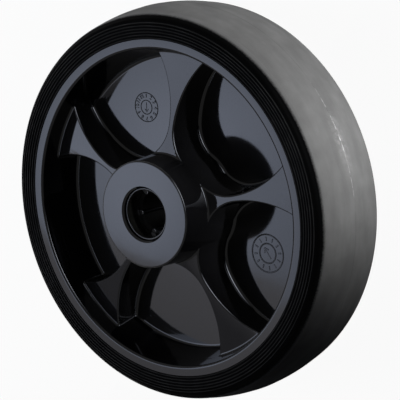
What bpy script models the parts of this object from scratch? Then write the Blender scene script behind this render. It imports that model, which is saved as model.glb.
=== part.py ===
"""Trolley wheel: a solid rubber tyre on a moulded five-spoke wheel centre with a roller bearing in its hub.

The wheel stands on the rear end of its hub, with its axis along +Z and its front side up.
Lengths are in metres and angles in degrees.
"""

import math

import bmesh
import bpy
from mathutils import Matrix

# Tyre
TYRE_RADIUS = 0.100
TYRE_WIDTH = 0.050
TREAD_CROWN = 0.0023
SHOULDER_RADIUS = 0.0068
SMOOTH_BAND_WIDTH = 0.0031
RIB_COUNT = 6
RIB_DEPTH = 0.0004

# Rim of the wheel centre, with the height of the rubber on it
RUBBER_HEIGHT = 0.0151
RIM_RECESS = 0.0003
RIM_LIP_WIDTH = 0.0047
RIM_WALL_DRAFT = 13.5
KEY_WIDTH = 0.014
KEY_HEIGHT = 0.003

# Web between rim and hub
WEB_THICKNESS = 0.007
FLOOR_FILLET = 0.0015
EDGE_ROUND = 0.0008

# Hub
HUB_LENGTH = 0.080
HUB_FACE_RADIUS = 0.027
HUB_DRAFT = 1.9
BORE_RADIUS = 0.0133
MOUTH_CHAMFER = 0.0009

# Spokes
SPOKE_COUNT = 5
SPOKE_WAIST_WIDTH = 0.0036
SPOKE_WAIST_AT = 0.042
SPOKE_OUTER_FLARE = 0.051
SPOKE_INNER_FLARE = 0.020
SPOKE_DRAFT = 4.5
SPOKE_DROP_AT_HUB = 0.001
SPOKE_DROP_AT_RIM = 0.009
SPOKE_SINK = 0.0003

# Largest share of its radius that a spoke's flare runs along the spoke
FLARE_REACH = 0.95

# Roller bearing
BUSH_RECESS = 0.0018
BUSH_LENGTH = 0.0092
BUSH_WALL = 0.0008
BUSH_CHAMFER = 0.0002
ROLLER_COUNT = 6
ROLLER_RADIUS = 0.0014
ROLLER_CHAMFER = 0.0003
CAGE_WALL = 0.0027
CAGE_RING_LENGTH = 0.004

# Gap between pieces that touch, and how far a helper solid reaches past the solid that it cuts or joins
CLEARANCE = 0.0003
OVERLAP = 0.002

# Facets
WHEEL_FACETS = 72
BEARING_FACETS = 36
ROLLER_FACETS = 12
ROUND_STEPS = 2
FILLET_STEPS = 3
SHOULDER_STEPS = 4
CROWN_STEPS = 2
INNER_FLARE_STEPS = 3
OUTER_FLARE_STEPS = 6
SHARP_ANGLE = 30

MID_HEIGHT = HUB_LENGTH / 2
RIM_RADIUS = TYRE_RADIUS - RUBBER_HEIGHT
RIM_HALF_WIDTH = TYRE_WIDTH / 2 - RIM_RECESS


def material(name, colour, roughness, metallic=0.0):
    """Makes a Principled BSDF material."""
    made = bpy.data.materials.new(name)
    made.use_nodes = True
    shader = made.node_tree.nodes["Principled BSDF"]
    shader.inputs["Base Color"].default_value = (*colour, 1.0)
    shader.inputs["Roughness"].default_value = roughness
    shader.inputs["Metallic"].default_value = metallic
    return made


def arc(centre, radius, start, end, steps):
    """Points along a circular arc from the angle start to the angle end, both included."""
    angles = [math.radians(start + (end - start) * step / steps) for step in range(steps + 1)]
    return [(centre[0] + radius * math.cos(angle), centre[1] + radius * math.sin(angle)) for angle in angles]


def tangent_round(before, corner, after, radius, steps):
    """Points of the arc that rounds off a corner between two straight runs of an outline."""
    to_before = math.atan2(before[1] - corner[1], before[0] - corner[0])
    to_after = math.atan2(after[1] - corner[1], after[0] - corner[0])
    turn = (to_after - to_before + math.pi) % (2 * math.pi) - math.pi
    middle = to_before + turn / 2
    reach = radius / math.sin(abs(turn) / 2)
    centre = (corner[0] + reach * math.cos(middle), corner[1] + reach * math.sin(middle))
    side = math.copysign(math.pi / 2, turn)
    start = math.degrees(to_before - side)
    sweep = math.degrees(math.copysign(math.pi - abs(turn), -turn))
    return arc(centre, radius, start, start + sweep, steps)


def mirrored(front_half):
    """A closed profile from the points of its front half. A point on the middle plane isn't repeated."""
    rear_half = [(radius, -height) for radius, height in reversed(front_half) if height]
    return front_half + rear_half


def new_object(name, mesh, surface, height=0.0):
    """Links an object to the scene with its material and rounded shading."""
    made = bpy.data.objects.new(name, mesh)
    bpy.context.collection.objects.link(made)
    made.location.z = height
    if surface:
        mesh.materials.append(surface)
    mesh.shade_smooth()
    mesh.set_sharp_from_angle(angle=math.radians(SHARP_ANGLE))
    return made


def turned_mesh(name, profile, facets):
    """Spins a closed profile of (radius, height) points once round the Z axis."""
    shape = bmesh.new()
    points = [shape.verts.new((radius, 0, height)) for radius, height in profile]
    edges = [shape.edges.new((points[index - 1], point)) for index, point in enumerate(points)]
    bmesh.ops.spin(
        shape, geom=points + edges, cent=(0, 0, 0), axis=(0, 0, 1), angle=math.tau, steps=facets, use_merge=True
    )
    bmesh.ops.recalc_face_normals(shape, faces=shape.faces)
    mesh = bpy.data.meshes.new(name)
    shape.to_mesh(mesh)
    shape.free()
    return mesh


def add_boolean(target, helper, operation):
    """Joins a helper solid to an object, or cuts it away, and keeps the helper out of the render."""
    helper.hide_render = True
    helper.display_type = "WIRE"
    modifier = target.modifiers.new(f"{operation.lower()} {helper.name}", "BOOLEAN")
    modifier.operation = operation
    modifier.object = helper
    modifier.solver = "EXACT"


def hub_radius(height):
    """Radius of the hub's drafted side at a height above the wheel's middle plane."""
    return HUB_FACE_RADIUS + (HUB_LENGTH / 2 - height) * math.tan(math.radians(HUB_DRAFT))


def rim_wall_radius(height):
    """Radius of the rim's drafted inner wall at a height above the wheel's middle plane."""
    lip = RIM_RADIUS - RIM_LIP_WIDTH
    return lip - (RIM_HALF_WIDTH - height) * math.tan(math.radians(RIM_WALL_DRAFT))


def tyre_ribs(bore, edge, shoulder_height):
    """Crests and grooves of the fine rings round the tyre's side, from its bore to the smooth band at its shoulder."""
    band = edge - SMOOTH_BAND_WIDTH - bore
    pitch = band / (RIB_COUNT + 0.25)
    points = []
    for index in range(RIB_COUNT):
        crest = bore + pitch * (index + 0.25)
        groove = crest + pitch / 2
        points.append((crest, shoulder_height(crest)))
        points.append((groove, shoulder_height(groove) - RIB_DEPTH))
    return points


def make_tyre(surface):
    """Solid tyre with ribbed sides, a crowned tread, round shoulders and a groove that grips the rim's key."""
    side = TYRE_WIDTH / 2
    bore = RIM_RADIUS + CLEARANCE
    edge = TYRE_RADIUS - TREAD_CROWN
    tread_half = side - SHOULDER_RADIUS
    turn_radius = edge - SHOULDER_RADIUS
    crown_radius = (tread_half**2 + TREAD_CROWN**2) / (2 * TREAD_CROWN)
    crown_angle = math.degrees(math.asin(tread_half / crown_radius))
    key_half = KEY_WIDTH / 2 + CLEARANCE

    def shoulder_height(radius):
        past_turn = max(radius - turn_radius, 0.0)
        return tread_half + math.sqrt(SHOULDER_RADIUS**2 - past_turn**2)

    smooth_angle = math.degrees(math.acos(1 - SMOOTH_BAND_WIDTH / SHOULDER_RADIUS))
    shoulder = arc((turn_radius, tread_half), SHOULDER_RADIUS, smooth_angle, 0, SHOULDER_STEPS)
    crown = arc((TYRE_RADIUS - crown_radius, 0), crown_radius, crown_angle, 0, CROWN_STEPS)
    front_half = [
        (bore + KEY_HEIGHT, key_half),
        (bore, key_half),
        (bore, side - RIB_DEPTH),
        *tyre_ribs(bore, edge, shoulder_height),
        *shoulder,
        *crown[1:],
    ]
    return new_object("tyre", turned_mesh("tyre", mirrored(front_half), WHEEL_FACETS), surface, MID_HEIGHT)


def wheel_profile():
    """Section of the wheel centre between its spokes: hub, web and rim."""
    hub_half = HUB_LENGTH / 2
    web_half = WEB_THICKNESS / 2
    mouth = BORE_RADIUS + MOUTH_CHAMFER
    lip = RIM_RADIUS - RIM_LIP_WIDTH
    hub_top = (HUB_FACE_RADIUS, hub_half)
    hub_foot = (hub_radius(web_half), web_half)
    wall_foot = (rim_wall_radius(web_half), web_half)
    wall_top = (lip, RIM_HALF_WIDTH)
    rim_edge = (RIM_RADIUS, RIM_HALF_WIDTH)
    key_half = KEY_WIDTH / 2
    front_half = [
        (BORE_RADIUS, hub_half - MOUTH_CHAMFER),
        (mouth, hub_half),
        *tangent_round((mouth, hub_half), hub_top, hub_foot, EDGE_ROUND, ROUND_STEPS),
        *tangent_round(hub_top, hub_foot, wall_foot, FLOOR_FILLET, FILLET_STEPS),
        *tangent_round(hub_foot, wall_foot, wall_top, FLOOR_FILLET, FILLET_STEPS),
        *tangent_round(wall_foot, wall_top, rim_edge, EDGE_ROUND, ROUND_STEPS),
        rim_edge,
        (RIM_RADIUS, key_half),
        (RIM_RADIUS + KEY_HEIGHT, key_half),
    ]
    return mirrored(front_half)


def spoke_stations():
    """Places along a spoke as (distance from the axis, half width of its top), from hub to rim."""
    waist = SPOKE_WAIST_WIDTH / 2
    inner_sine = (SPOKE_WAIST_AT - hub_radius(RIM_HALF_WIDTH)) / SPOKE_INNER_FLARE
    outer_sine = (rim_wall_radius(RIM_HALF_WIDTH) - SPOKE_WAIST_AT) / SPOKE_OUTER_FLARE
    inner_angle = math.asin(min(inner_sine, FLARE_REACH))
    outer_angle = math.asin(min(outer_sine, FLARE_REACH))
    stations = []
    for step in range(INNER_FLARE_STEPS, 0, -1):
        angle = inner_angle * step / INNER_FLARE_STEPS
        reach = SPOKE_INNER_FLARE * math.sin(angle)
        stations.append((SPOKE_WAIST_AT - reach, waist + SPOKE_INNER_FLARE * (1 - math.cos(angle))))
    for step in range(OUTER_FLARE_STEPS + 1):
        angle = outer_angle * step / OUTER_FLARE_STEPS
        reach = SPOKE_OUTER_FLARE * math.sin(angle)
        stations.append((SPOKE_WAIST_AT + reach, waist + SPOKE_OUTER_FLARE * (1 - math.cos(angle))))
    root = (BORE_RADIUS + HUB_FACE_RADIUS) / 2
    tip = RIM_RADIUS - RIM_LIP_WIDTH + OVERLAP
    return [(root, stations[0][1]), *stations, (tip, stations[-1][1])]


def spoke_top(radius):
    """Height of the spokes' top above the middle plane, which falls from the hub to the rim."""
    hub = hub_radius(RIM_HALF_WIDTH)
    wall = rim_wall_radius(RIM_HALF_WIDTH - SPOKE_DROP_AT_RIM)
    along = min(max((radius - hub) / (wall - hub), 0.0), 1.0)
    drop = SPOKE_DROP_AT_HUB + (SPOKE_DROP_AT_RIM - SPOKE_DROP_AT_HUB) * along
    return TYRE_WIDTH / 2 - drop


def spoke_section(distance, half_width):
    """One quarter of a spoke's section as (sideways, height) points, from its top to the middle plane."""
    top = spoke_top(math.hypot(distance, half_width))
    edge_centre = (half_width - EDGE_ROUND, top - EDGE_ROUND)
    fillet_height = WEB_THICKNESS / 2 + FLOOR_FILLET - SPOKE_SINK
    foot = half_width + (edge_centre[1] - fillet_height) * math.tan(math.radians(SPOKE_DRAFT))
    fillet = arc((foot + FLOOR_FILLET, fillet_height), FLOOR_FILLET, 180, 270, FILLET_STEPS)
    return arc(edge_centre, EDGE_ROUND, 90, 0, ROUND_STEPS) + fillet


def spoke_mesh():
    """Lofts one spoke along +X through its sections, alike on the front and the rear of the wheel."""
    shape = bmesh.new()
    rings = []
    for distance, half_width in spoke_stations():
        right_front = spoke_section(distance, half_width)
        right = mirrored(right_front)
        left = [(-sideways, height) for sideways, height in reversed(right)]
        rings.append([shape.verts.new((distance, sideways, height)) for sideways, height in right + left])
    count = len(rings[0])
    for near, far in zip(rings, rings[1:]):
        for index in range(count):
            following = (index + 1) % count
            shape.faces.new((near[index], near[following], far[following], far[index]))
    shape.faces.new(rings[0])
    shape.faces.new(rings[-1])
    bmesh.ops.recalc_face_normals(shape, faces=shape.faces)
    mesh = bpy.data.meshes.new("spoke")
    shape.to_mesh(mesh)
    shape.free()
    return mesh


def make_wheel_centre(surface):
    """Moulded wheel centre: the turned hub, web and rim, joined to the spokes."""
    wheel = new_object("wheel_centre", turned_mesh("wheel_centre", wheel_profile(), WHEEL_FACETS), surface, MID_HEIGHT)
    mesh = spoke_mesh()
    for index in range(SPOKE_COUNT):
        spoke = new_object(f"spoke_{index + 1}", mesh, None, MID_HEIGHT)
        spoke.rotation_euler.z = math.tau * index / SPOKE_COUNT
        add_boolean(wheel, spoke, "UNION")
    return wheel


def make_bush(name, surface, side):
    """Short bush in one end of the bore, which keeps the rollers and their cage in the hub."""
    outer = BORE_RADIUS - CLEARANCE
    inner = outer - BUSH_WALL
    outer_end = HUB_LENGTH / 2 - BUSH_RECESS
    inner_end = outer_end - BUSH_LENGTH
    profile = [
        (inner, inner_end),
        (inner, outer_end - BUSH_CHAMFER),
        (inner + BUSH_CHAMFER, outer_end),
        (outer - BUSH_CHAMFER, outer_end),
        (outer, outer_end - BUSH_CHAMFER),
        (outer, inner_end),
    ]
    placed = [(radius, side * height) for radius, height in profile]
    return new_object(name, turned_mesh(name, placed, BEARING_FACETS), surface, MID_HEIGHT)


def bearing_half_length():
    """Half of the length between the two bushes, less the end play."""
    return HUB_LENGTH / 2 - BUSH_RECESS - BUSH_LENGTH - CLEARANCE


def roller_ring_radius():
    """Distance of the rollers' axes from the wheel's axis."""
    return BORE_RADIUS - CLEARANCE - ROLLER_RADIUS


def cylinder_mesh(name, radius, low, high, facets):
    """A cylinder along Z between two heights."""
    shape = bmesh.new()
    middle = Matrix.Translation((0, 0, (low + high) / 2))
    bmesh.ops.create_cone(
        shape, cap_ends=True, segments=facets, radius1=radius, radius2=radius, depth=high - low, matrix=middle
    )
    mesh = bpy.data.meshes.new(name)
    shape.to_mesh(mesh)
    shape.free()
    return mesh


def on_roller_ring(item, index):
    """Places an object at one of the rollers' axes."""
    angle = math.tau * index / ROLLER_COUNT
    item.location.x = roller_ring_radius() * math.cos(angle)
    item.location.y = roller_ring_radius() * math.sin(angle)
    item.rotation_euler.z = angle


def make_cage(surface):
    """Comb cage: a closed ring at the rear end, with fingers to the front that part the rollers."""
    half = bearing_half_length()
    outer = BORE_RADIUS - CLEARANCE
    inner = outer - CAGE_WALL
    profile = [(inner, -half), (inner, half), (outer, half), (outer, -half)]
    cage = new_object("roller_cage", turned_mesh("roller_cage", profile, BEARING_FACETS), surface, MID_HEIGHT)
    slot_radius = ROLLER_RADIUS + CLEARANCE
    slot_mesh = cylinder_mesh("roller_slot", slot_radius, CAGE_RING_LENGTH - half, half + OVERLAP, ROLLER_FACETS)
    for index in range(ROLLER_COUNT):
        slot = new_object(f"roller_slot_{index + 1}", slot_mesh, None, MID_HEIGHT)
        on_roller_ring(slot, index)
        add_boolean(cage, slot, "DIFFERENCE")
    return cage


def make_rollers(surface):
    """Long steel rollers with chamfered ends, one in each slot of the cage."""
    half = bearing_half_length()
    low = CAGE_RING_LENGTH + CLEARANCE - half
    mesh = cylinder_mesh("roller", ROLLER_RADIUS, low, half, ROLLER_FACETS)
    shape = bmesh.new()
    shape.from_mesh(mesh)
    rims = [edge for edge in shape.edges if edge.verts[0].co.z == edge.verts[1].co.z]
    bmesh.ops.bevel(shape, geom=rims, offset=ROLLER_CHAMFER, segments=1, affect="EDGES", profile=0.5)
    shape.to_mesh(mesh)
    shape.free()
    mesh.materials.append(surface)
    for index in range(ROLLER_COUNT):
        roller = new_object(f"roller_{index + 1}", mesh, None, MID_HEIGHT)
        on_roller_ring(roller, index)


def clear_scene():
    """Removes every object of the open file."""
    for item in list(bpy.data.objects):
        bpy.data.objects.remove(item, do_unlink=True)


def main():
    """Builds the wheel's pieces."""
    clear_scene()
    rubber = material("black_rubber", (0.012, 0.012, 0.013), 0.6)
    nylon = material("black_moulded_nylon", (0.006, 0.006, 0.007), 0.08)
    bush_plastic = material("black_bush_plastic", (0.02, 0.02, 0.022), 0.3)
    cage_plastic = material("black_cage_plastic", (0.01, 0.01, 0.01), 0.4)
    steel = material("roller_steel", (0.6, 0.6, 0.62), 0.25, 1.0)
    make_tyre(rubber)
    make_wheel_centre(nylon)
    make_bush("bush_front", bush_plastic, 1)
    make_bush("bush_rear", bush_plastic, -1)
    make_cage(cage_plastic)
    make_rollers(steel)


main()
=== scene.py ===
"""Studio scene of a trolley wheel: a solid rubber tyre, a moulded five-spoke wheel centre and a roller bearing.

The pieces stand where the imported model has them, with the wheel's axis along Z and its rear hub face on the floor.
Lengths are in metres and angles in degrees.
"""

import logging
import math
from collections.abc import Callable, Iterator, Sequence
from contextlib import contextmanager
from dataclasses import dataclass, replace
from enum import Enum

import bmesh
import bpy
from mathutils import Matrix, Vector


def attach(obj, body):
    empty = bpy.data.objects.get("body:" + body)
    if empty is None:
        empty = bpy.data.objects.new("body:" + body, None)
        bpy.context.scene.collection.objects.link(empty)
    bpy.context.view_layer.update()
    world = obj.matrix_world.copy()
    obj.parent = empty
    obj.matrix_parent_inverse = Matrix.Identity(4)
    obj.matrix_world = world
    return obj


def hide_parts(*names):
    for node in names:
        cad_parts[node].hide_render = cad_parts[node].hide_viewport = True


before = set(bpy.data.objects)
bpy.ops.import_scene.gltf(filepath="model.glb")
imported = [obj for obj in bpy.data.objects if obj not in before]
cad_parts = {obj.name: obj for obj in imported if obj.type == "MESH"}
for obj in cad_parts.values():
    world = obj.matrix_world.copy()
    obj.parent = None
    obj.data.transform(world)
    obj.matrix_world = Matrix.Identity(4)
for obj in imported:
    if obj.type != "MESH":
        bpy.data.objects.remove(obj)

LOG = logging.getLogger("trolley_wheel")
MM = 0.001
MID_HEIGHT = 0.040
CLEARANCE = 0.0003
MERGE_DISTANCE = 1e-7
CREASE_ANGLE = 32.0
WHITE = (1.0, 1.0, 1.0, 1.0)

Point = tuple[float, float]
Place = tuple[float, float, float]
Tint = tuple[float, float, float, float]
Level = Callable[[float], float]
Material = bpy.types.Material
Object = bpy.types.Object
Socket = bpy.types.NodeSocket
Tree = bpy.types.NodeTree


class Side(Enum):
    """The two ends of the wheel's axis."""

    FRONT = 1
    REAR = -1


# Outlines in plan and in section


def arc(centre: Point, radius: float, start: float, end: float, steps: int) -> list[Point]:
    """Points along a circular arc, both ends included.

    Args:
        centre: centre of the arc.
        radius: its radius.
        start: angle of the first point.
        end: angle of the last point.
        steps: number of straight runs.

    Returns:
        The points in order.
    """
    angles = [math.radians(start + (end - start) * step / steps) for step in range(steps + 1)]
    return [(centre[0] + radius * math.cos(angle), centre[1] + radius * math.sin(angle)) for angle in angles]


def rounded_corner(before: Point, corner: Point, after: Point, radius: float, steps: int) -> list[Point]:
    """Points of the arc that rounds off the corner between two straight runs.

    Args:
        before: a point on the run that comes in.
        corner: where the two runs meet.
        after: a point on the run that goes out.
        radius: radius of the rounding.
        steps: number of straight runs along it.

    Returns:
        The arc's points, from the run that comes in to the one that goes out.
    """
    to_before = math.atan2(before[1] - corner[1], before[0] - corner[0])
    to_after = math.atan2(after[1] - corner[1], after[0] - corner[0])
    turn = (to_after - to_before + math.pi) % math.tau - math.pi
    reach = radius / math.sin(abs(turn) / 2)
    middle = to_before + turn / 2
    centre = (corner[0] + reach * math.cos(middle), corner[1] + reach * math.sin(middle))
    start = math.degrees(to_before - math.copysign(math.pi / 2, turn))
    sweep = math.degrees(math.copysign(math.pi - abs(turn), -turn))
    return arc(centre, radius, start, start + sweep, steps)


def both_halves(front_half: Sequence[Point]) -> list[Point]:
    """Closes a turned section from the points of its front half, without repeating one on the middle plane."""
    return list(front_half) + [(radius, -height) for radius, height in reversed(front_half) if height]


# Modelling, as at the workbench


def deselect() -> None:
    """Leaves nothing selected."""
    bpy.ops.object.select_all(action="DESELECT")


def pick(item: Object) -> None:
    """Makes one object the only selected and the active one."""
    deselect()
    item.select_set(True)
    bpy.context.view_layer.objects.active = item


@contextmanager
def editing(item: Object) -> Iterator[None]:
    """Opens an object in edit mode, set to select vertices, and closes it again."""
    pick(item)
    bpy.ops.object.mode_set(mode="EDIT")
    bpy.ops.mesh.select_mode(type="VERT")
    yield
    bpy.ops.object.mode_set(mode="OBJECT")


def choose(item: Object, kind: str, wanted: Callable) -> None:
    """Selects the vertices, edges or faces of the object in edit mode that pass a test.

    Args:
        item: the object in edit mode.
        kind: "verts", "edges" or "faces".
        wanted: takes an element and says whether it is selected.
    """
    bpy.ops.mesh.select_mode(type={"verts": "VERT", "edges": "EDGE", "faces": "FACE"}[kind])
    bpy.ops.mesh.select_all(action="DESELECT")
    shape = bmesh.from_edit_mesh(item.data)
    elements = getattr(shape, kind)
    elements.ensure_lookup_table()
    for element in elements:
        element.select_set(wanted(element))
    shape.select_flush_mode()
    bmesh.update_edit_mesh(item.data)


def settle(item: Object) -> None:
    """Puts an object's place, turn and size into its mesh."""
    pick(item)
    bpy.ops.object.transform_apply(location=True, rotation=True, scale=True)


def draw(name: str, points: Sequence[Vector]) -> Object:
    """Draws a closed outline by extruding one vertex from point to point.

    Args:
        name: name of the new object.
        points: the outline's corners in order.

    Returns:
        The outline, a mesh of edges alone.
    """
    deselect()
    bpy.ops.mesh.primitive_plane_add(size=MM, location=points[0])
    item = bpy.context.active_object
    item.name = name
    settle(item)
    with editing(item):
        bpy.ops.mesh.select_all(action="SELECT")
        bpy.ops.mesh.merge(type="CENTER")
        for before, after in zip(points, points[1:]):
            bpy.ops.mesh.extrude_vertices_move(TRANSFORM_OT_translate={"value": after - before})
        choose(item, "verts", lambda vertex: len(vertex.link_edges) == 1)
        bpy.ops.mesh.edge_face_add()
    return item


def mend(item: Object, reach: float = MERGE_DISTANCE) -> None:
    """Merges points that lie within reach of each other and turns every face outwards."""
    with editing(item):
        bpy.ops.mesh.select_all(action="SELECT")
        bpy.ops.mesh.remove_doubles(threshold=reach)
        bpy.ops.mesh.normals_make_consistent(inside=False)


def turn_on_lathe(name: str, section: Sequence[Point], facets: int, axis: Point = (0.0, 0.0)) -> Object:
    """Spins a closed section once round an upright axis.

    Args:
        name: name of the new piece.
        section: (radius, height) points.
        facets: number of steps of the spin.
        axis: the axis in plan.

    Returns:
        The closed piece.
    """
    item = draw(name, [Vector((axis[0] + radius, axis[1], height)) for radius, height in section])
    with editing(item):
        bpy.ops.mesh.select_all(action="SELECT")
        bpy.ops.mesh.spin(steps=facets, angle=math.tau, center=(axis[0], axis[1], 0.0), axis=(0.0, 0.0, 1.0))
    mend(item)
    return item


def join(pieces: Sequence[Object]) -> Object:
    """Joins pieces into the first one."""
    deselect()
    for piece in pieces:
        piece.select_set(True)
    bpy.context.view_layer.objects.active = pieces[0]
    bpy.ops.object.join()
    return pieces[0]


def copy_turned(item: Object, name: str, degrees: float) -> Object:
    """Copies a piece with its own mesh, turned about the wheel's axis.

    Args:
        item: the piece to copy.
        name: name of the copy.
        degrees: how far the copy is turned.

    Returns:
        The copy, with its place in its mesh.
    """
    pick(item)
    bpy.ops.object.duplicate(linked=False)
    made = bpy.context.active_object
    made.name = name
    made.rotation_euler.z = math.radians(degrees)
    settle(made)
    return made


def finish_modifier(item: Object, kind: str, **settings: object) -> None:
    """Adds a modifier with its settings and applies it."""
    pick(item)
    modifier = item.modifiers.new(kind.lower(), kind)
    for name, value in settings.items():
        setattr(modifier, name, value)
    bpy.ops.object.modifier_apply(modifier=modifier.name)


def cut(item: Object, cutter: Object) -> None:
    """Cuts one solid out of another and throws the cutter away."""
    finish_modifier(item, "BOOLEAN", operation="DIFFERENCE", object=cutter, solver="EXACT")
    bpy.data.objects.remove(cutter, do_unlink=True)


def smooth(item: Object) -> None:
    """Shades a piece smooth, apart from its crisp edges, with flats that stay flat beside their rounded edges."""
    pick(item)
    bpy.ops.object.shade_smooth_by_angle(angle=math.radians(CREASE_ANGLE))
    finish_modifier(item, "WEIGHTED_NORMAL", mode="FACE_AREA", weight=50, keep_sharp=True)


def dress(item: Object, *finishes: Material) -> None:
    """Gives a piece its materials in the order of its slots."""
    item.data.materials.clear()
    for finish in finishes:
        item.data.materials.append(finish)


def install(item: Object, body: str, stands_for: str | None = None) -> None:
    """Puts a finished piece on its body and in place of its solid.

    Args:
        item: the finished piece.
        body: the body that it moves with.
        stands_for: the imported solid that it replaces, if any.
    """
    settle(item)
    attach(item, body)
    if stands_for:
        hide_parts(stands_for)
    LOG.info("%s: %d faces on body %s", item.name, len(item.data.polygons), body)


# Finishes


def linear(hex_colour: str) -> Tint:
    """Turns an sRGB hex colour to linear RGBA.

    Args:
        hex_colour: such as "#1a1b1d".

    Returns:
        Linear red, green, blue and an alpha of 1.
    """
    shares = [int(hex_colour[at : at + 2], 16) / 255 for at in (1, 3, 5)]
    curve = (share / 12.92 if share <= 0.04045 else ((share + 0.055) / 1.055) ** 2.4 for share in shares)
    return (*curve, 1.0)


def per_size(millimetres: float) -> float:
    """Noise scale at which one feature of the pattern is about that wide."""
    return 1000.0 / millimetres


def add_node(
    tree: Tree, kind: str, inputs: dict | None = None, out: int | str = 0, **settings: object
) -> Socket | None:
    """Adds a node with its settings, values and links.

    Args:
        tree: the node tree.
        kind: the node's type name, without ShaderNode.
        inputs: for each input, by name or index, a value or the socket that feeds it.
        out: name or index of the output that is wanted.
        settings: properties of the node.

    Returns:
        That output, or None where the node has no outputs.
    """
    made = tree.nodes.new(f"ShaderNode{kind}")
    for name, value in settings.items():
        setattr(made, name, value)
    for name, value in (inputs or {}).items():
        if isinstance(value, Socket):
            tree.links.new(value, made.inputs[name])
        else:
            made.inputs[name].default_value = value
    return made.outputs[out] if made.outputs else None


def new_material(name: str) -> tuple[Material, Tree]:
    """Makes an empty node material."""
    made = bpy.data.materials.new(name)
    made.use_nodes = True
    made.node_tree.nodes.clear()
    return made, made.node_tree


@dataclass(frozen=True)
class MouldedPlastic:
    """Injection-moulded plastic with the gloss that its polished or eroded mould gives it."""

    name: str
    colour: str
    flow_colour: str
    roughness: float
    roughness_spread: float
    flow_mm: float
    ripple_mm: float
    ripple_depth_mm: float
    ior: float = 1.53

    def material(self) -> Material:
        """Builds the material: faint flow marks in colour and gloss, and the slight ripple of moulded skin."""
        made, tree = new_material(self.name)
        place = add_node(tree, "TexCoord", out="Object")
        swirl = {"Vector": place, "Scale": per_size(self.flow_mm), "Detail": 4.0, "Distortion": 1.2}
        flow = add_node(tree, "TexNoise", swirl)
        tones = {"Factor": flow, 6: linear(self.colour), 7: linear(self.flow_colour)}
        colour = add_node(tree, "Mix", tones, 2, data_type="RGBA")
        dull = self.roughness + self.roughness_spread
        spread = {"Value": flow, "From Min": 0.3, "From Max": 0.7, "To Min": self.roughness, "To Max": dull}
        gloss = add_node(tree, "MapRange", spread)
        ripple = add_node(tree, "TexNoise", {"Vector": place, "Scale": per_size(self.ripple_mm), "Detail": 2.0})
        relief = {"Height": ripple, "Strength": 1.0, "Distance": self.ripple_depth_mm * MM}
        bump = add_node(tree, "Bump", relief)
        look = {"Base Color": colour, "Roughness": gloss, "Normal": bump, "IOR": self.ior}
        surface = add_node(tree, "BsdfPrincipled", look)
        add_node(tree, "OutputMaterial", {"Surface": surface})
        return made


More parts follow.
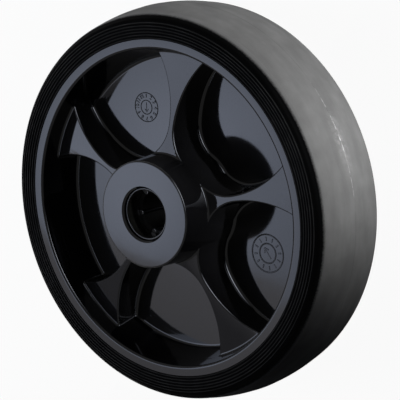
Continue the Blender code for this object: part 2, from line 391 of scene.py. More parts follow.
@dataclass(frozen=True)
class Rubber:
    """Solid black rubber, either with its moulded skin or ground off on the tread."""

    name: str
    colour: str
    worn_colour: str
    roughness: float
    specular: float
    cloud_mm: float
    grain_mm: float
    grain_depth_mm: float
    streak_mm: float
    skin_colour: str = ""
    skin_from_mm: float = 0.0
    feather_mm: float = 0.0
    # The pale patch beside the parting line is scuff marks and a painted highlight
    scuff_colour: str = ""
    scuff_mm: float = 20.0
    scuff_at: Place = (0.098, 0.019, MID_HEIGHT)
    scuff_squeeze: float = 4.0
    scuff_shreds: float = 8.0
    torn_from: float = 0.42
    torn_to: float = 0.68
    worn_from: float = 0.12
    worn_to: float = 0.4
    streak_stretch: float = 0.3
    ior: float = 1.52

    def feathered(self, tree: Tree, place: Socket, colour: Socket) -> Socket:
        """Fades the colour into the unground skin towards the shoulders, with a ragged edge.

        Args:
            tree: the material's node tree.
            place: object coordinates.
            colour: the ground surface's colour.

        Returns:
            The colour with the skin's at the shoulders.
        """
        height = add_node(tree, "SeparateXYZ", {"Vector": place}, "Z")
        centred = add_node(tree, "Math", {0: height, 1: MID_HEIGHT}, operation="SUBTRACT")
        offset = add_node(tree, "Math", {0: centred}, operation="ABSOLUTE")
        teeth = {"Vector": place, "Scale": per_size(self.feather_mm), "Detail": 4.0}
        ragged = add_node(tree, "TexNoise", teeth)
        feather, edge = self.feather_mm * MM, self.skin_from_mm * MM
        bitten = {0: ragged, 1: feather, 2: offset}
        moved = add_node(tree, "Math", bitten, operation="MULTIPLY_ADD")
        fade = {"Value": moved, "From Min": edge - feather, "From Max": edge + feather / 2}
        share = add_node(tree, "MapRange", fade)
        tones = {"Factor": share, 6: colour, 7: linear(self.skin_colour)}
        return add_node(tree, "Mix", tones, 2, data_type="RGBA")

    def scuffed(self, tree: Tree, place: Socket, colour: Socket) -> Socket:
        """Paints one stretch beside the parting line pale and ragged: scuff marks, and a painted highlight where the
        light falls on the tread.

        Args:
            tree: the material's node tree.
            place: object coordinates.
            colour: the colour of the rest.

        Returns:
            The colour with the scuff and the painted highlight on it.
        """
        x, y, z = self.scuff_at
        squeeze = self.scuff_squeeze
        shift = {"Vector": place, "Location": (-x, -y, -z * squeeze), "Scale": (1.0, 1.0, squeeze)}
        moved = add_node(tree, "Mapping", shift)
        away = add_node(tree, "VectorMath", {0: moved}, "Value", operation="LENGTH")
        fade = {"Value": away, "From Max": self.scuff_mm * MM, "To Min": 1.0, "To Max": 0.0}
        near = add_node(tree, "MapRange", fade)
        size = self.scuff_mm / self.scuff_shreds
        shreds = {"Vector": place, "Scale": per_size(size), "Detail": 6.0, "Roughness": 0.7}
        torn = add_node(tree, "TexNoise", shreds)
        cut_off = {"Value": torn, "From Min": self.torn_from, "From Max": self.torn_to}
        marks = add_node(tree, "MapRange", cut_off)
        share = add_node(tree, "Math", {0: near, 1: marks}, operation="MULTIPLY")
        tones = {"Factor": share, 6: colour, 7: linear(self.scuff_colour)}
        return add_node(tree, "Mix", tones, 2, data_type="RGBA")

    def material(self) -> Material:
        """Builds the material: clouds of dust and bloom, streaks round the wheel and a fine grain."""
        made, tree = new_material(self.name)
        place = add_node(tree, "TexCoord", out="Object")
        cloud = add_node(tree, "TexNoise", {"Vector": place, "Scale": per_size(self.cloud_mm), "Detail": 5.0})
        # Squeezed across the wheel's width, so the pattern runs round it as grinding marks do
        squeeze = {"Vector": place, "Scale": (self.streak_stretch, self.streak_stretch, 1.0)}
        stretched = add_node(tree, "Mapping", squeeze)
        streaks = {"Vector": stretched, "Scale": per_size(self.streak_mm), "Detail": 3.0}
        streak = add_node(tree, "TexNoise", streaks)
        mixed = add_node(tree, "Math", {0: cloud, 1: streak}, operation="MULTIPLY")
        wear = {"Value": mixed, "From Min": self.worn_from, "From Max": self.worn_to}
        share = add_node(tree, "MapRange", wear)
        tones = {"Factor": share, 6: linear(self.colour), 7: linear(self.worn_colour)}
        colour = add_node(tree, "Mix", tones, 2, data_type="RGBA")
        if self.skin_colour:
            colour = self.feathered(tree, place, colour)
        # Scuff marks and a painted highlight: pale and ragged round one spot beside the parting line
        if self.scuff_colour:
            colour = self.scuffed(tree, place, colour)
        grain = add_node(tree, "TexNoise", {"Vector": place, "Scale": per_size(self.grain_mm), "Detail": 3.0})
        bump = add_node(tree, "Bump", {"Height": grain, "Strength": 1.0, "Distance": self.grain_depth_mm * MM})
        look = {"Base Color": colour, "Roughness": self.roughness, "Normal": bump, "IOR": self.ior}
        look["Specular IOR Level"] = self.specular
        surface = add_node(tree, "BsdfPrincipled", look)
        add_node(tree, "OutputMaterial", {"Surface": surface})
        return made


@dataclass(frozen=True)
class GroundSteel:
    """Centreless-ground bearing steel with a film of oil."""

    name: str = "ground_bearing_steel"
    colour: str = "#b9bcc2"
    oil_colour: str = "#8e9096"
    roughness: float = 0.15
    scratch_mm: float = 0.25
    scratch_stretch: float = 0.1

    def material(self) -> Material:
        """Builds the material: fine grinding rings across the roller's length."""
        made, tree = new_material(self.name)
        place = add_node(tree, "TexCoord", out="Object")
        squeeze = {"Vector": place, "Scale": (self.scratch_stretch, self.scratch_stretch, 1.0)}
        squeezed = add_node(tree, "Mapping", squeeze)
        scratches = {"Vector": squeezed, "Scale": per_size(self.scratch_mm), "Detail": 2.0}
        rings = add_node(tree, "TexNoise", scratches)
        tones = {"Factor": rings, 6: linear(self.colour), 7: linear(self.oil_colour)}
        colour = add_node(tree, "Mix", tones, 2, data_type="RGBA")
        look = {"Base Color": colour, "Metallic": 1.0, "Roughness": self.roughness}
        surface = add_node(tree, "BsdfPrincipled", look)
        add_node(tree, "OutputMaterial", {"Surface": surface})
        return made


# Polished mould: a deep black with mirror gloss, in which the floors of the pockets show the hub and the spokes
WHEEL_NYLON = MouldedPlastic("moulded_nylon_gloss_black", "#131314", "#17171a", 0.05, 0.03, 14.0, 9.0, 0.004)
# The same kind of plastic with the duller skin of a small insert mould
BUSH_ACETAL = MouldedPlastic("moulded_acetal_black", "#2a2a28", "#343432", 0.14, 0.05, 4.0, 1.2, 0.002, ior=1.48)
CAGE_NYLON = MouldedPlastic("moulded_cage_nylon_black", "#0c0c0d", "#121213", 0.4, 0.1, 3.0, 1.0, 0.005)
# Moulded rubber skin: nearly black, with a dull sheen on its rings
TYRE_SKIN = Rubber("moulded_rubber_skin_black", "#030303", "#070707", 0.45, 0.02, 30.0, 0.5, 0.01, 12.0)
# Ground rubber: the tread is turned true after moulding, which leaves a dry grey surface with cloudy streaks
# that fades raggedly into the black skin of the shoulders
TYRE_TREAD = Rubber(
    *("ground_rubber_tread_grey", "#606060", "#6f6f6f", 0.85, 0.04, 14.0, 0.35, 0.03, 7.0),
    skin_colour="#050505",
    skin_from_mm=22.1,
    feather_mm=1.0,
    # A pale ragged patch beside the parting line: scuff marks, and a painted highlight where the light falls on the
    # tread
    scuff_colour="#8a8a8a",
)
# Flash that was torn off along the parting line: level with the tread, and near white round one spot, which is scuff
# and a painted highlight where the light falls on it
TYRE_FLASH = replace(
    TYRE_TREAD,
    name="torn_rubber_flash_grey",
    colour="#5a5a5a",
    worn_colour="#6c6c6c",
    skin_colour="",
    scuff_colour="#cccccc",
    scuff_mm=36.0,
)
# Crests of the rings: duller rubber in a paler grey, a painted highlight on them, so they stand out as fine paler
# lines
TYRE_CREST_PAINTED_HIGHLIGHT = Rubber("scuffed_rubber_crest_grey", "#1e1e1e", "#303030", 0.7, 0.06, 8.0, 0.4, 0.01, 3.0)


# Sub-assemblies


@dataclass
class Tyre:
    """Solid tyre with fine rings on its sides, round shoulders, a crowned tread and a mould parting line."""

    radius: float = 0.100
    half_width: float = 0.025
    bore: float = 0.0852
    key_half: float = 0.0073
    key_depth: float = 0.003
    crown: float = 0.0023
    shoulder_radius: float = 0.0068
    smooth_band: float = 0.0031
    rib_count: int = 6
    rib_start: float = 0.25
    rib_depth: float = 0.0004
    rib_half: float = 0.00022
    rib_foot_half: float = 0.00042
    rib_round: float = 0.15
    ground_edge: float = 0.0955
    parting_height: float = 0.00012
    parting_half: float = 0.0003
    shoulder_steps: int = 10
    crown_steps: int = 8
    facets: int = 288

    def side_height(self, radius: float) -> float:
        """Height of the side face above the middle plane at a radius, where it turns down into the shoulder."""
        past_turn = max(radius - (self.radius - self.crown - self.shoulder_radius), 0.0)
        return self.half_width - self.shoulder_radius + math.sqrt(self.shoulder_radius**2 - past_turn**2)

    def crests(self) -> list[float]:
        """Radii of the rings' crests."""
        edge = self.radius - self.crown - self.smooth_band
        pitch = (edge - self.bore) / (self.rib_count + self.rib_start)
        return [self.bore + pitch * (index + self.rib_start) for index in range(self.rib_count)]

    def on_crest(self, radius: float) -> bool:
        """Whether a face at a radius lies on the top of a ring."""
        return any(abs(radius - crest) < self.rib_half for crest in self.crests())

    def ribs(self) -> list[Point]:
        """Section of the fine rings on one side, from the bore outwards."""
        foot, top, rounding = self.rib_foot_half, self.rib_half, self.rib_round
        profile = ((-foot, 1.0), (-top, rounding), (0.0, 0.0), (top, rounding), (foot, 1.0))
        points = []
        for crest in self.crests():
            for offset, share in profile:
                radius = max(crest + offset, self.bore)
                points.append((radius, self.side_height(radius) - share * self.rib_depth))
        return points

    def section(self) -> list[Point]:
        """Closed section of the tyre about its middle plane."""
        turn_height = self.half_width - self.shoulder_radius
        edge = self.radius - self.crown
        crown_radius = (turn_height**2 + self.crown**2) / (2 * self.crown)
        crown_angle = math.degrees(math.asin(turn_height / crown_radius))
        smooth_angle = math.degrees(math.acos(1 - self.smooth_band / self.shoulder_radius))
        shoulder_centre = (edge - self.shoulder_radius, turn_height)
        shoulder = arc(shoulder_centre, self.shoulder_radius, smooth_angle, 0, self.shoulder_steps)
        parting_angle = math.degrees(math.asin(self.parting_half / crown_radius))
        crown_centre = (self.radius - crown_radius, 0.0)
        crown = arc(crown_centre, crown_radius, crown_angle, parting_angle, self.crown_steps)
        front_half = [
            (self.bore + self.key_depth, self.key_half),
            (self.bore, self.key_half),
            *self.ribs(),
            *shoulder,
            *crown[1:],
            (self.radius + self.parting_height, 0.0),
        ]
        return both_halves(front_half)

    def build(self) -> None:
        """Spins the tyre, parts its moulded skin from its ground tread and installs it."""
        item = turn_on_lathe("rubber_tyre", self.section(), self.facets)
        dress(item, TYRE_SKIN.material(), TYRE_TREAD.material(), TYRE_CREST_PAINTED_HIGHLIGHT.material(), TYRE_FLASH.material())
        tread, flash = (lambda radius: radius > self.ground_edge), (lambda radius: radius > self.radius)
        with editing(item):
            for slot, lies_there in enumerate((tread, self.on_crest, flash), 1):
                item.active_material_index = slot
                choose(item, "faces", lambda face: lies_there(face.calc_center_median().xy.length))
                bpy.ops.object.material_slot_assign()
        item.location.z = MID_HEIGHT
        settle(item)
        smooth(item)
        install(item, "wheel", "tyre")


@dataclass
class WheelCentre:
    """Moulded wheel centre: a turned body of hub, spoke disc and rim, with five pockets sunk into each side."""

    rim_radius: float = 0.0849
    rim_half_width: float = 0.0247
    lip_width: float = 0.0047
    rim_draft: float = 13.5
    key_half: float = 0.007
    key_height: float = 0.003
    web_half: float = 0.0035
    floor_fillet: float = 0.0021
    edge_round: float = 0.00105
    lip_round: float = 0.0016
    hub_half: float = 0.040
    hub_face_radius: float = 0.027
    hub_draft: float = 1.9
    bore_radius: float = 0.0133
    mouth_chamfer: float = 0.0009
    spoke_count: int = 5
    waist: float = 0.0018
    waist_at: float = 0.042
    outer_flare: float = 0.051
    inner_flare: float = 0.020
    flare_reach: float = 0.95
    spoke_draft: float = 4.5
    top_at_hub: float = 0.024
    top_at_rim: float = 0.016
    top_fillet: float = 0.0013
    rim_ledge: float = 0.0001
    hub_ledge: float = 0.00002
    rim_corner: float = 0.0018
    rim_corner_run: float = 0.0018
    tight_corner: float = 0.0005
    hub_corner: float = 0.005
    hub_corner_run: float = 0.0018
    exit_rise: float = 0.00006
    exit_share: float = 1.07
    cutter_top: float = 0.027
    sliver: float = 0.00003
    edge_steps: int = 4
    top_steps: int = 5
    lip_steps: int = 8
    wall_steps: int = 22
    hub_steps: int = 12
    side_steps: int = 26
    hub_corner_steps: int = 4
    rim_corner_steps: int = 6
    # Directions round the floor's fillet and round the spokes' edges at which the cutter has a ring
    fillet_turns: tuple = (0.0, 15.0, 30.0, 45.0, 60.0, 74.0)
    edge_turns: tuple = (0.0, 18.0, 36.0, 54.0, 72.0)
    halvings: int = 50
    facets: int = 240

    def hub_radius(self, height: float) -> float:
        """Radius of the hub's drafted side at a height above the middle plane."""
        return self.hub_face_radius + (self.hub_half - height) * math.tan(math.radians(self.hub_draft))

    def wall_radius(self, height: float) -> float:
        """Radius of the rim's drafted inner wall at a height above the middle plane."""
        lip = self.rim_radius - self.lip_width
        return lip - (self.rim_half_width - height) * math.tan(math.radians(self.rim_draft))

    def top_height(self, radius: float) -> float:
        """Height of the spokes' top, which falls from the hub to the rim."""
        near = self.hub_radius(self.top_at_hub)
        far = self.wall_radius(self.top_at_rim)
        along = min(max((radius - near) / (far - near), 0.0), 1.0)
        return self.top_at_hub + (self.top_at_rim - self.top_at_hub) * along

    def half_width(self, along: float) -> float:
        """Half width of a spoke's top at a distance from the axis along the spoke."""
        flare = self.outer_flare if along > self.waist_at else self.inner_flare
        sine = min(abs(along - self.waist_at) / flare, self.flare_reach)
        return self.waist + flare * (1 - math.sqrt(1 - sine**2))

    def body_section(self) -> list[Point]:
        """Closed section of the body before its pockets are cut."""
        mouth = (self.bore_radius + self.mouth_chamfer, self.hub_half)
        hub_edge = (self.hub_face_radius, self.hub_half)
        hub_foot = (self.hub_radius(self.top_at_hub), self.top_at_hub)
        wall_foot = (self.wall_radius(self.top_at_rim), self.top_at_rim)
        lip_edge = (self.rim_radius - self.lip_width, self.rim_half_width)
        rim_edge = (self.rim_radius, self.rim_half_width)
        front_half = [
            (self.bore_radius, self.hub_half - self.mouth_chamfer),
            mouth,
            *rounded_corner(mouth, hub_edge, hub_foot, self.edge_round, self.edge_steps),
            *rounded_corner(hub_edge, hub_foot, wall_foot, self.top_fillet, self.top_steps),
            *rounded_corner(hub_foot, wall_foot, lip_edge, self.top_fillet, self.top_steps),
            *rounded_corner(wall_foot, lip_edge, rim_edge, self.lip_round, self.lip_steps),
            rim_edge,
            (self.rim_radius, self.key_half),
            (self.rim_radius + self.key_height, self.key_half),
        ]
        return both_halves(front_half)

    def fillet_inset(self, height: float, draft: float) -> float:
        """How far the floor's fillet stands in from a wall.

        Args:
            height: height above the middle plane.
            draft: the wall's lean from upright.

        Returns:
            The fillet's reach at that height, which is nothing above the fillet.
        """
        lean = math.radians(draft)
        rise = height - self.web_half
        if rise >= self.floor_fillet * (1 - math.sin(lean)):
            return 0.0
        reach = self.floor_fillet * math.tan((math.pi / 2 - lean) / 2)
        return reach - math.sqrt(self.floor_fillet**2 - (self.floor_fillet - rise) ** 2) + rise * math.tan(lean)

    def side_half(self, along: float, height: float, narrowing: float) -> float:
        """Half width of a spoke with its draft and its foot's fillet.

        Args:
            along: distance from the axis along the spoke.
            height: height above the middle plane.
            narrowing: what the rounding of the spoke's top edge takes off.

        Returns:
            The half width.
        """
        drafted = (self.top_height(along) - height) * math.tan(math.radians(self.spoke_draft))
        return self.half_width(along) + drafted - narrowing + self.fillet_inset(height, self.spoke_draft)

    def spoke_end(self, radius: Level, level: Level, narrowing: float, reach: tuple[float, float]) -> float:
        """Distance along the spoke at which its side meets a round wall.

        Args:
            radius: the wall's radius at a height.
            level: the outline's height at a radius.
            narrowing: what the rounding of the spoke's top edge takes off.
            reach: the least and the greatest distance that it may be.

        Returns:
            The distance from the axis, along the spoke.
        """
        low, high = reach
        for _ in range(self.halvings):
            middle = (low + high) / 2
            height = level(middle)
            if math.hypot(middle, self.side_half(middle, height, narrowing)) > radius(height):
                high = middle
            else:
                low = middle
        return middle

    def wall_points(self, end: Point, run: float, middle: float, steps: int) -> list[Point]:
        """Points along a round wall, from a run past a spoke's end to halfway to the next spoke.

        Args:
            end: where the spoke's side meets the wall.
            run: length that is left free for the rounding of the corner.
            middle: direction halfway between the two spokes.
            steps: number of straight runs.

        Returns:
            The points, from the spoke's side onwards.
        """
        radius = math.hypot(*end)
        start = math.degrees(math.atan2(end[1], end[0]) + run / radius)
        return arc((0.0, 0.0), radius, start, middle, steps)

    def pocket_outline(self, level: Level, narrowing: float) -> list[Vector]:
        """Outline of one pocket at a level, between the first spoke and the next.

        Args:
            level: height of the outline at a radius.
            narrowing: what the rounding of the spoke's top edge takes off the spokes.

        Returns:
            The outline's points in order.
        """

        def wall(height: float) -> float:
            return self.wall_radius(height) - self.rim_ledge - self.fillet_inset(height, self.rim_draft)

        def hub(height: float) -> float:
            return self.hub_radius(height) + self.hub_ledge + self.fillet_inset(height, self.hub_draft)

        def side_point(along: float) -> Point:
            return along, self.side_half(along, level(along), narrowing)

        middle = 180.0 / self.spoke_count
        outer = self.spoke_end(wall, level, narrowing, (self.waist_at, self.rim_radius))
        inner = self.spoke_end(hub, level, narrowing, (self.bore_radius, self.waist_at))
        rim_end, hub_end = side_point(outer), side_point(inner)
        rim = self.wall_points(rim_end, self.rim_corner_run, middle, self.wall_steps)
        hub_side = self.wall_points(hub_end, self.hub_corner_run, middle, self.hub_steps)
        start, end, steps = inner + self.hub_corner_run, outer - self.rim_corner_run, self.side_steps
        side = [side_point(start + (end - start) * step / steps) for step in range(steps + 1)]
        rim_corner = max(self.rim_corner - self.fillet_inset(level(outer), self.spoke_draft), self.tight_corner)
        half = [
            *reversed(hub_side),
            *rounded_corner(hub_side[0], hub_end, side[0], self.hub_corner, self.hub_corner_steps),
            *side,
            *rounded_corner(side[-1], rim_end, rim[0], rim_corner, self.rim_corner_steps),
            *rim,
        ]
        turned = math.radians(2 * middle)
        other = [
            (x * math.cos(turned) + y * math.sin(turned), x * math.sin(turned) - y * math.cos(turned))
            for x, y in reversed(half[1:-1])
        ]
        return [Vector((x, y, level(math.hypot(x, y)))) for x, y in half + other]

    def pocket_cutter(self) -> Object:
        """Lofts the solid that sinks one pocket, with the rounding of the spokes' edges in its flare."""

        def near_top(drop: float) -> Level:
            return lambda radius: self.top_height(radius) - drop

        def flat(height: float) -> Level:
            return lambda radius: height

        rings = []
        for degrees in (*self.fillet_turns, 90.0 - self.hub_draft):
            rise = self.floor_fillet * (1 - math.cos(math.radians(degrees)))
            rings.append((flat(self.web_half + rise), 0.0))
        for turn in map(math.radians, self.edge_turns):
            drop, narrowing = self.edge_round * (1 - math.sin(turn)), self.edge_round * (1 - math.cos(turn))
            rings.append((near_top(drop), narrowing))
        # The last two rings leave the top along the rounding's tangent and then rise clear of the body
        rings.append((near_top(-self.exit_rise), self.edge_round * self.exit_share))
        rings.append((flat(self.cutter_top), self.edge_round * self.exit_share))
        outlines = [self.pocket_outline(level, narrowing) for level, narrowing in rings]
        count = len(outlines[0])

        def on_rings(first: int, last: int) -> Callable:
            return lambda edge: all(first * count <= vertex.index < (last + 1) * count for vertex in edge.verts)

        item = join([draw(f"pocket_ring_{at}", outline) for at, outline in enumerate(outlines)])
        item.name = "pocket_cutter"
        with editing(item):
            for at in range(len(rings) - 1):
                choose(item, "edges", on_rings(at, at + 1))
                bpy.ops.mesh.bridge_edge_loops()
            for at in (0, len(rings) - 1):
                choose(item, "edges", on_rings(at, at))
                bpy.ops.mesh.edge_face_add()
        mend(item)
        return item

    def build(self) -> None:
        """Turns the body, sinks its pockets and installs it."""
        item = turn_on_lathe("moulded_wheel_centre", self.body_section(), self.facets)
        first = self.pocket_cutter()
        pitch = 360.0 / self.spoke_count
        front = [first] + [copy_turned(first, f"pocket_{at}", pitch * at) for at in range(1, self.spoke_count)]
        cutter = join(front)
        rear = copy_turned(cutter, "rear_pockets", 0.0)
        rear.scale.z = -1.0
        settle(rear)
        mend(rear)
        cut(item, join([cutter, rear]))
        mend(item, self.sliver)
        item.location.z = MID_HEIGHT
        settle(item)
        smooth(item)
        dress(item, WHEEL_NYLON.material())
        install(item, "wheel", "wheel_centre")


@dataclass
class RollerBearing:
    """Two bushes in the ends of the bore, and between them a comb cage with long rollers."""

    bore: float = 0.0133
    hub_half: float = 0.040
    bush_recess: float = 0.0018
    bush_length: float = 0.0092
    bush_wall: float = 0.0008
    bush_round: float = 0.0002
    roller_count: int = 6
    roller_radius: float = 0.0014
    roller_round: float = 0.0003
    cage_wall: float = 0.0027
    ring_length: float = 0.004
    round_steps: int = 3
    roller_facets: int = 32
    facets: int = 120

    @property
    def outer(self) -> float:
        """Radius of the bushes and the cage, a running gap inside the bore."""
        return self.bore - CLEARANCE

    @property
    def half_length(self) -> float:
        """Half of the length between the bushes, less the end play."""
        return self.hub_half - self.bush_recess - self.bush_length - CLEARANCE

    @property
    def pitch_radius(self) -> float:
        """Distance of the rollers' axes from the wheel's axis."""
        return self.outer - self.roller_radius

    def bush(self, side: Side) -> None:
        """Turns one bush, with softened edges on the end that shows.

        Args:
            side: the end of the hub that it sits in.
        """
        inner = self.outer - self.bush_wall
        end = self.hub_half - self.bush_recess
        foot = end - self.bush_length
        low_in, top_in, top_out, low_out = (inner, foot), (inner, end), (self.outer, end), (self.outer, foot)
        section = [
            low_in,
            *rounded_corner(low_in, top_in, top_out, self.bush_round, self.round_steps),
            *rounded_corner(top_in, top_out, low_out, self.bush_round, self.round_steps),
            low_out,
        ]
        placed = [(radius, MID_HEIGHT + side.value * height) for radius, height in section]
        name = f"bush_{side.name.lower()}"
        item = turn_on_lathe(f"moulded_{name}", placed, self.facets)
        smooth(item)
        dress(item, BUSH_ACETAL.material())
        install(item, "wheel", name)

    def cage(self) -> None:
        """Turns the cage and cuts a slot for each roller, open to the front."""
        half, inner = self.half_length, self.outer - self.cage_wall
        section = [(inner, -half), (inner, half), (self.outer, half), (self.outer, -half)]
        item = turn_on_lathe("comb_cage", section, self.facets)
        for index in range(self.roller_count):
            angle = math.tau * index / self.roller_count
            x, y = self.pitch_radius * math.cos(angle), self.pitch_radius * math.sin(angle)
            deselect()
            bpy.ops.mesh.primitive_cylinder_add(
                vertices=self.roller_facets,
                radius=self.roller_radius + CLEARANCE,
                depth=2 * half,
                location=(x, y, self.ring_length),
                rotation=(0.0, 0.0, angle),
            )
            cut(item, bpy.context.active_object)
        mend(item)
        item.location.z = MID_HEIGHT
        settle(item)
        smooth(item)
        dress(item, CAGE_NYLON.material())
        install(item, "cage", "roller_cage")

    def rollers(self) -> None:
        """Makes one roller with rounded ends and copies it round the cage."""
        low = self.ring_length + CLEARANCE - self.half_length
        deselect()
        bpy.ops.mesh.primitive_cylinder_add(
            vertices=self.roller_facets,
            radius=self.roller_radius,
            depth=self.half_length - low,
            location=(self.pitch_radius, 0.0, MID_HEIGHT + (self.half_length + low) / 2),
        )
        first = bpy.context.active_object
        first.name = "steel_roller_1"
        settle(first)
        with editing(first):
            choose(first, "edges", lambda edge: abs(edge.verts[0].co.z - edge.verts[1].co.z) < MERGE_DISTANCE)
            bpy.ops.mesh.bevel(offset=self.roller_round, segments=self.round_steps, profile=0.5, affect="EDGES")
        smooth(first)
        dress(first, GroundSteel().material())
        turn = 360.0 / self.roller_count
        others = [copy_turned(first, f"steel_roller_{at + 1}", turn * at) for at in range(1, self.roller_count)]
        for at, roller in enumerate([first, *others], 1):
            install(roller, f"roller_{at}", f"roller_{at}")

    def build(self) -> None:
        """Builds the bushes, the cage and the rollers."""
        for side in Side:
            self.bush(side)
        self.cage()
        self.rollers()


@dataclass
class MouldDial:
    """Round insert mark of a mould: raised rings, twelve numbers or ticks, and an arrow in the middle."""

    name: str
    angle: float
    from_axis: float
    ring_radius: float
    numbered: bool
    inner_ring: float
    line: float = 0.00045
    floor: float = MID_HEIGHT + 0.0035
    relief: float = 0.00025
    sink: float = 0.0001
    marks: int = 12
    digit_height: float = 0.0019
    digit_bevel: float = 0.00005
    # Text size and distance inside the ring, as shares of the height of a digit
    digit_size: float = 1.4
    digit_inset: float = 0.85
    line_slope: float = 0.3
    line_steps: int = 6
    facets: int = 72
    # Shares of the ring's radius: where the ticks start and end, and half of the pointer
    tick_from: float = 0.66
    tick_to: float = 0.88
    pointer_reach: float = 0.34
    pointer_turn: float = 150.0
    barb_share: float = 0.8
    barb_turn: float = 35.0

    @property
    def centre(self) -> Vector:
        """The dial's middle on the pocket's floor."""
        turn = math.radians(self.angle)
        return Vector((self.from_axis * math.cos(turn), self.from_axis * math.sin(turn), self.floor))

    def ring(self, radius: float) -> Object:
        """Turns one raised line with a rounded back round the dial's middle.

        Args:
            radius: radius of the line's middle.

        Returns:
            The ring.
        """
        half = self.line / 2
        back = arc((radius, self.floor), half, 180, 0, self.line_steps)
        low = self.floor - self.sink
        flat = [(at, self.floor + (height - self.floor) * self.relief / half) for at, height in back]
        section = [(radius - half, low), *flat, (radius + half, low)]
        return turn_on_lathe(f"{self.name}_ring", section, self.facets, (self.centre.x, self.centre.y))

    def place(self, item: Object, offset: Point, degrees: float, turn: float) -> Object:
        """Sets a mark, modelled at the origin, on the dial.

        Args:
            item: the mark.
            offset: its distance from the dial's middle and its height above the floor.
            degrees: its direction from the dial's middle.
            turn: how far it is turned itself.

        Returns:
            The mark, closed and in its place.
        """
        away = Matrix.Rotation(math.radians(degrees), 3, "Z") @ Vector((offset[0], 0.0, offset[1]))
        item.location = self.centre + away
        item.rotation_euler.z = math.radians(turn)
        settle(item)
        mend(item)
        return item

    def bar(self, start: float, end: float, degrees: float) -> Object:
        """Makes one straight raised line, along a radius of the dial.

        Args:
            start: distance of its inner end from the dial's middle.
            end: distance of its outer end.
            degrees: its direction.

        Returns:
            The bar.
        """
        deselect()
        bpy.ops.mesh.primitive_plane_add(size=1.0)
        item = bpy.context.active_object
        item.name = f"{self.name}_bar"
        item.scale = (end - start, self.line, 1.0)
        settle(item)
        with editing(item):
            bpy.ops.mesh.select_all(action="SELECT")
            bpy.ops.mesh.extrude_region_move(TRANSFORM_OT_translate={"value": (0.0, 0.0, self.sink)})
            bpy.ops.mesh.inset(thickness=self.line * self.line_slope, depth=self.relief)
        return self.place(item, ((start + end) / 2, -self.sink), degrees, degrees)

    def digits(self, number: int, degrees: float) -> Object:
        """Writes one number, with its foot towards the dial's middle.

        Args:
            number: the number.
            degrees: its direction from the dial's middle.

        Returns:
            The number as a closed mesh.
        """
        deselect()
        bpy.ops.object.text_add()
        item = bpy.context.active_object
        item.name = f"{self.name}_number_{number}"
        item.data.body = str(number)
        item.data.size = self.digit_height * self.digit_size
        item.data.align_x = "CENTER"
        item.data.align_y = "CENTER"
        item.data.extrude = (self.relief + self.sink) / 2
        item.data.bevel_depth = self.digit_bevel
        item.data.resolution_u = 4
        bpy.ops.object.convert(target="MESH")
        item = bpy.context.active_object
        reach = self.ring_radius - self.digit_height * self.digit_inset
        return self.place(item, (reach, (self.relief - self.sink) / 2), degrees, degrees - 90.0)

    def pointer(self) -> list[Object]:
        """Makes the arrow in the dial's middle from one long and two short bars."""
        reach = self.ring_radius * self.pointer_reach
        direction = self.angle + self.pointer_turn
        tip = Matrix.Rotation(math.radians(direction), 3, "Z") @ Vector((reach, 0.0, 0.0))
        bars = [self.bar(-reach, reach, direction)]
        for turn in (-self.barb_turn, self.barb_turn):
            barb = self.bar(-reach * self.barb_share, 0.0, direction + turn)
            barb.location = tip
            settle(barb)
            bars.append(barb)
        return bars

    def build(self) -> None:
        """Builds the dial as one piece and installs it on the wheel."""
        parts = [self.ring(self.ring_radius), self.ring(self.ring_radius * self.inner_ring)]
        inner, outer = self.ring_radius * self.tick_from, self.ring_radius * self.tick_to
        for at in range(1, self.marks + 1):
            direction = self.angle - 360.0 / self.marks * at
            parts.append(self.digits(at, direction) if self.numbered else self.bar(inner, outer, direction))
        item = join([*parts, *self.pointer()])
        item.name = self.name
        smooth(item)
        dress(item, WHEEL_NYLON.material())
        install(item, "wheel")


@dataclass(frozen=True)
class Spot:
    """Where a lamp, a panel or the camera hangs, as seen from the point that it faces."""

    azimuth: float
    elevation: float
    distance: float = 1.5
    aim: Place = (0.0, 0.0, MID_HEIGHT)

    @property
    def toward(self) -> Vector:
        """Unit vector from the aim to the place, with azimuth counted from +X."""
        turn, rise = math.radians(self.azimuth), math.radians(self.elevation)
        return Vector((math.cos(rise) * math.cos(turn), math.cos(rise) * math.sin(turn), math.sin(rise)))

    @property
    def place(self) -> Vector:
        """The place itself."""
        return Vector(self.aim) + self.toward * self.distance


